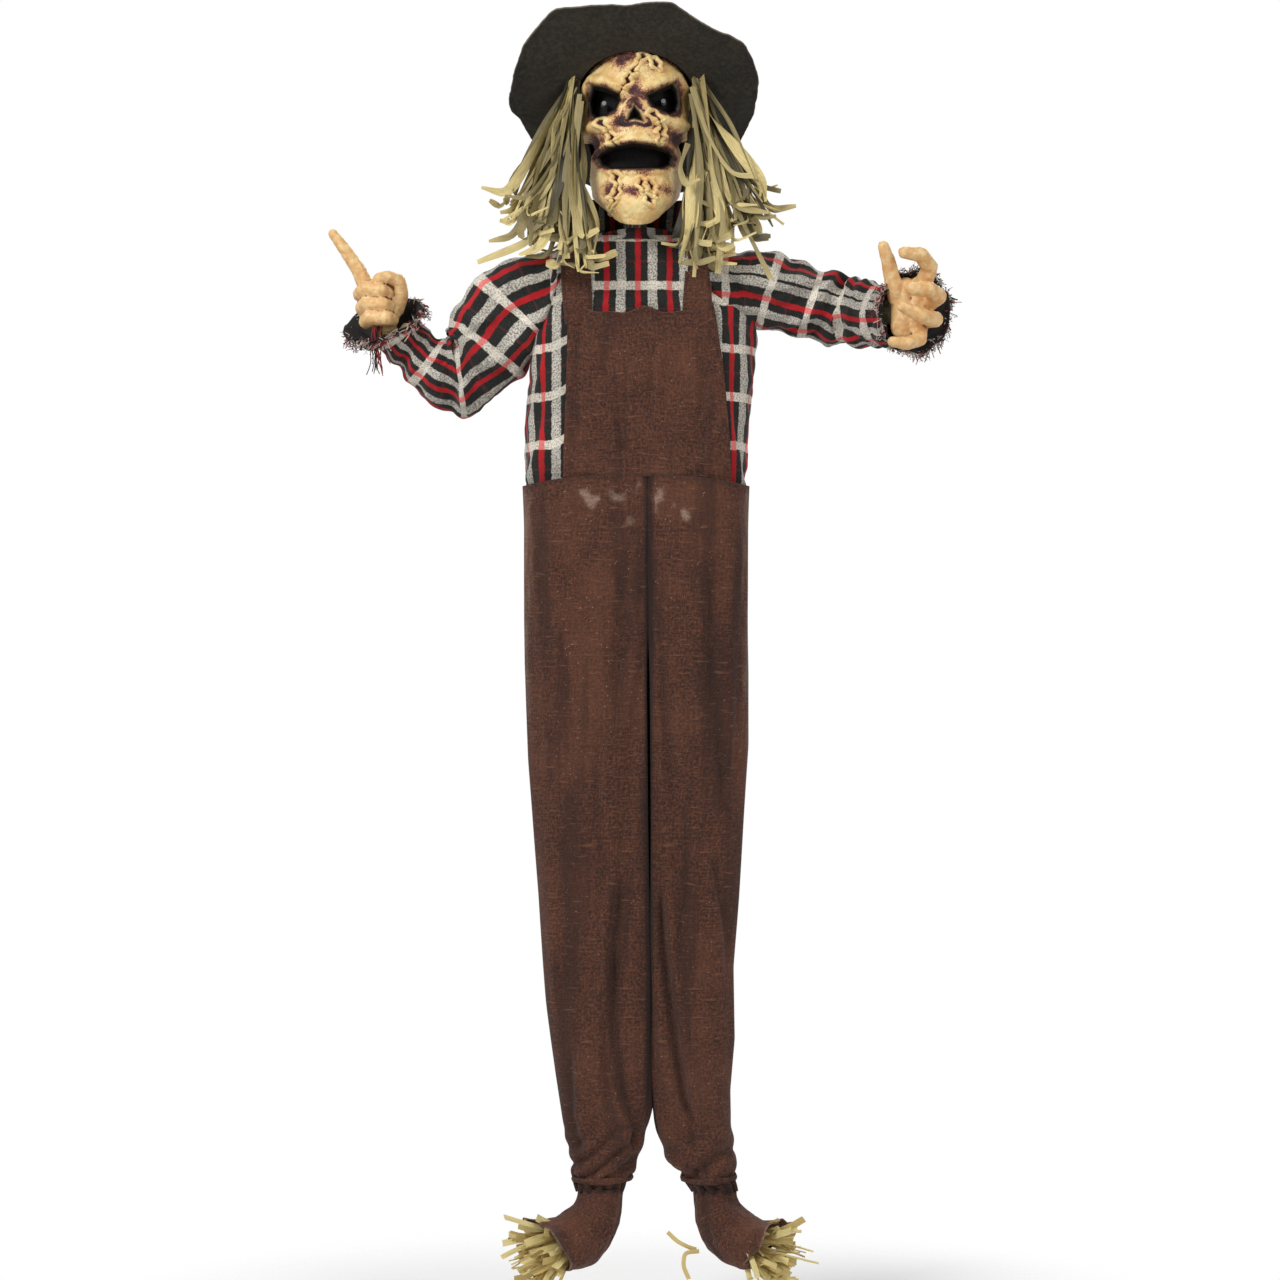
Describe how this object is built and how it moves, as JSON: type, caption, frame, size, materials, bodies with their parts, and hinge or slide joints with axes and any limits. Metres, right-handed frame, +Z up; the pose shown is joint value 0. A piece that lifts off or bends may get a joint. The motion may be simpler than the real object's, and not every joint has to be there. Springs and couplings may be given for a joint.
{
  "type": "hanging scarecrow figure",
  "caption": "Life-size hanging scarecrow in a plaid shirt and bib overalls, with a moulded skull mask, straw hair, a floppy hat and posable arms.",
  "frame": {"origin": "the point inside the hanging eye where a ceiling hook bears", "axes": "+Z up along the hanging rod, the figure faces -Y, its pointing hand is on the -X side"},
  "size_m": [0.8387, 0.2933, 1.7261],
  "materials": {
    "steel": "plain drawn steel",
    "black_plastic": "moulded, fine texture",
    "circuit_green": "solder mask",
    "battery_case": "plain sleeve",
    "foam": "loose stuffing in a plain cover",
    "plaid": "loose woven check with frayed cut edges",
    "burlap": "coarse brown weave, worn in streaks",
    "mask": "pocked skin with a dark wash in the hollows",
    "hand": "soft satin, shaded in the creases",
    "hood": "thin black lining",
    "gauze": "black gauze",
    "led": "clear tinted lens",
    "felt": "thin dark cloth, floppy",
    "raffia": "flat dry strips",
    "straw": "flat dry strips, bright"
  },
  "bodies": {
    "torso": {"hanging_eye": "steel", "hanging_rod": "steel", "thrust_collar": "steel", "shoulder_tee": "steel", "shoulder_bar": "steel", "chest_padding": "foam", "shirt_body": "plaid", "shirt_collar": "plaid", "bib": "burlap", "strap_left": "burlap", "strap_right": "burlap", "trousers_hips": "burlap", "control_box_case": "black_plastic", "control_box_cover": "black_plastic", "speaker": "black_plastic", "circuit_board": "circuit_green", "battery_1": "battery_case", "battery_2": "battery_case", "battery_3": "battery_case", "hair_tips_left": "raffia", "hair_tips_right": "raffia"},
    "head": {"face_mask": "mask", "head_back": "hood", "face_gauze": "gauze", "eye_led_left": "led", "eye_led_right": "led", "neck_bush": "black_plastic", "hat_crown": "felt", "hat_brim": "felt", "hair_left": "raffia", "hair_right": "raffia"},
    "battery_door": {"battery_door": "black_plastic", "door_screw": "steel"},
    "power_switch": {"power_switch": "black_plastic"},
    "upper_arm_left": {"sleeve_upper_left": "plaid", "arm_wire_upper_left": "steel", "arm_padding_upper_left": "foam"},
    "forearm_left": {"sleeve_lower_left": "plaid", "arm_wire_lower_left": "steel", "arm_padding_lower_left": "foam", "cuff_lining_left": "hood"},
    "hand_left": {"hand_left": "hand"},
    "leg_left": {"trouser_leg_left": "burlap", "ankle_tie_left": "burlap"},
    "foot_left": {"foot_left": "burlap", "foot_straw_left": "straw"},
    "upper_arm_right": {"sleeve_upper_right": "plaid", "arm_wire_upper_right": "steel", "arm_padding_upper_right": "foam"},
    "forearm_right": {"sleeve_lower_right": "plaid", "arm_wire_lower_right": "steel", "arm_padding_lower_right": "foam", "cuff_lining_right": "hood"},
    "hand_right": {"hand_right": "hand"},
    "leg_right": {"trouser_leg_right": "burlap", "ankle_tie_right": "burlap"},
    "foot_right": {"foot_right": "burlap", "foot_straw_right": "straw"}
  },
  "joints": [
    {"name": "head_turn", "type": "hinge", "parent": "torso", "child": "head", "pos_m": [0, 0, -0.274], "axis": [0, 0, 1], "range_deg": [-40, 40]},
    {"name": "battery_door_hinge", "type": "hinge", "parent": "torso", "child": "battery_door", "pos_m": [0, 0.0648, -0.4935], "axis": [1, 0, 0], "range_deg": [0, 100]},
    {"name": "switch_slide", "type": "slide", "parent": "torso", "child": "power_switch", "axis": [1, 0, 0], "range_m": [0, 0.006]},
    {"name": "shoulder_left", "type": "hinge", "parent": "torso", "child": "upper_arm_left", "pos_m": [-0.145, 0, -0.36], "axis": [0, 1, 0], "range_deg": [-8, 60]},
    {"name": "elbow_left", "type": "hinge", "parent": "upper_arm_left", "child": "forearm_left", "pos_m": [-0.24676, 0, -0.49618], "axis": [-0.0803, 0.995, 0.06], "range_deg": [-92, 4]},
    {"name": "wrist_left", "type": "hinge", "parent": "forearm_left", "child": "hand_left", "pos_m": [-0.34342, -0.01224, -0.42277], "axis": [-0.7923, -0.1003, 0.6018], "range_deg": [-35, 35]},
    {"name": "hip_left", "type": "hinge", "parent": "torso", "child": "leg_left", "pos_m": [-0.068, 0, -0.8], "axis": [1, 0, 0], "range_deg": [-40, 40]},
    {"name": "ankle_left", "type": "hinge", "parent": "leg_left", "child": "foot_left", "pos_m": [-0.049, 0, -1.615], "axis": [1, 0, 0], "range_deg": [-30, 30]},
    {"name": "shoulder_right", "type": "hinge", "parent": "torso", "child": "upper_arm_right", "pos_m": [0.145, 0, -0.36], "axis": [0, -1, 0], "range_deg": [-45, 22]},
    {"name": "elbow_right", "type": "hinge", "parent": "upper_arm_right", "child": "forearm_right", "pos_m": [0.28917, 0, -0.40141], "axis": [-0.2745, -0.1049, -0.9558], "range_deg": [-44, 50]},
    {"name": "wrist_right", "type": "hinge", "parent": "forearm_right", "child": "hand_right", "pos_m": [0.37448, -0.08878, -0.41616], "axis": [0.6879, -0.7159, -0.119], "range_deg": [-35, 35]},
    {"name": "hip_right", "type": "hinge", "parent": "torso", "child": "leg_right", "pos_m": [0.088, 0, -0.8], "axis": [1, 0, 0], "range_deg": [-40, 40]},
    {"name": "ankle_right", "type": "hinge", "parent": "leg_right", "child": "foot_right", "pos_m": [0.108, 0, -1.615], "axis": [1, 0, 0], "range_deg": [-30, 30]}
  ]
}
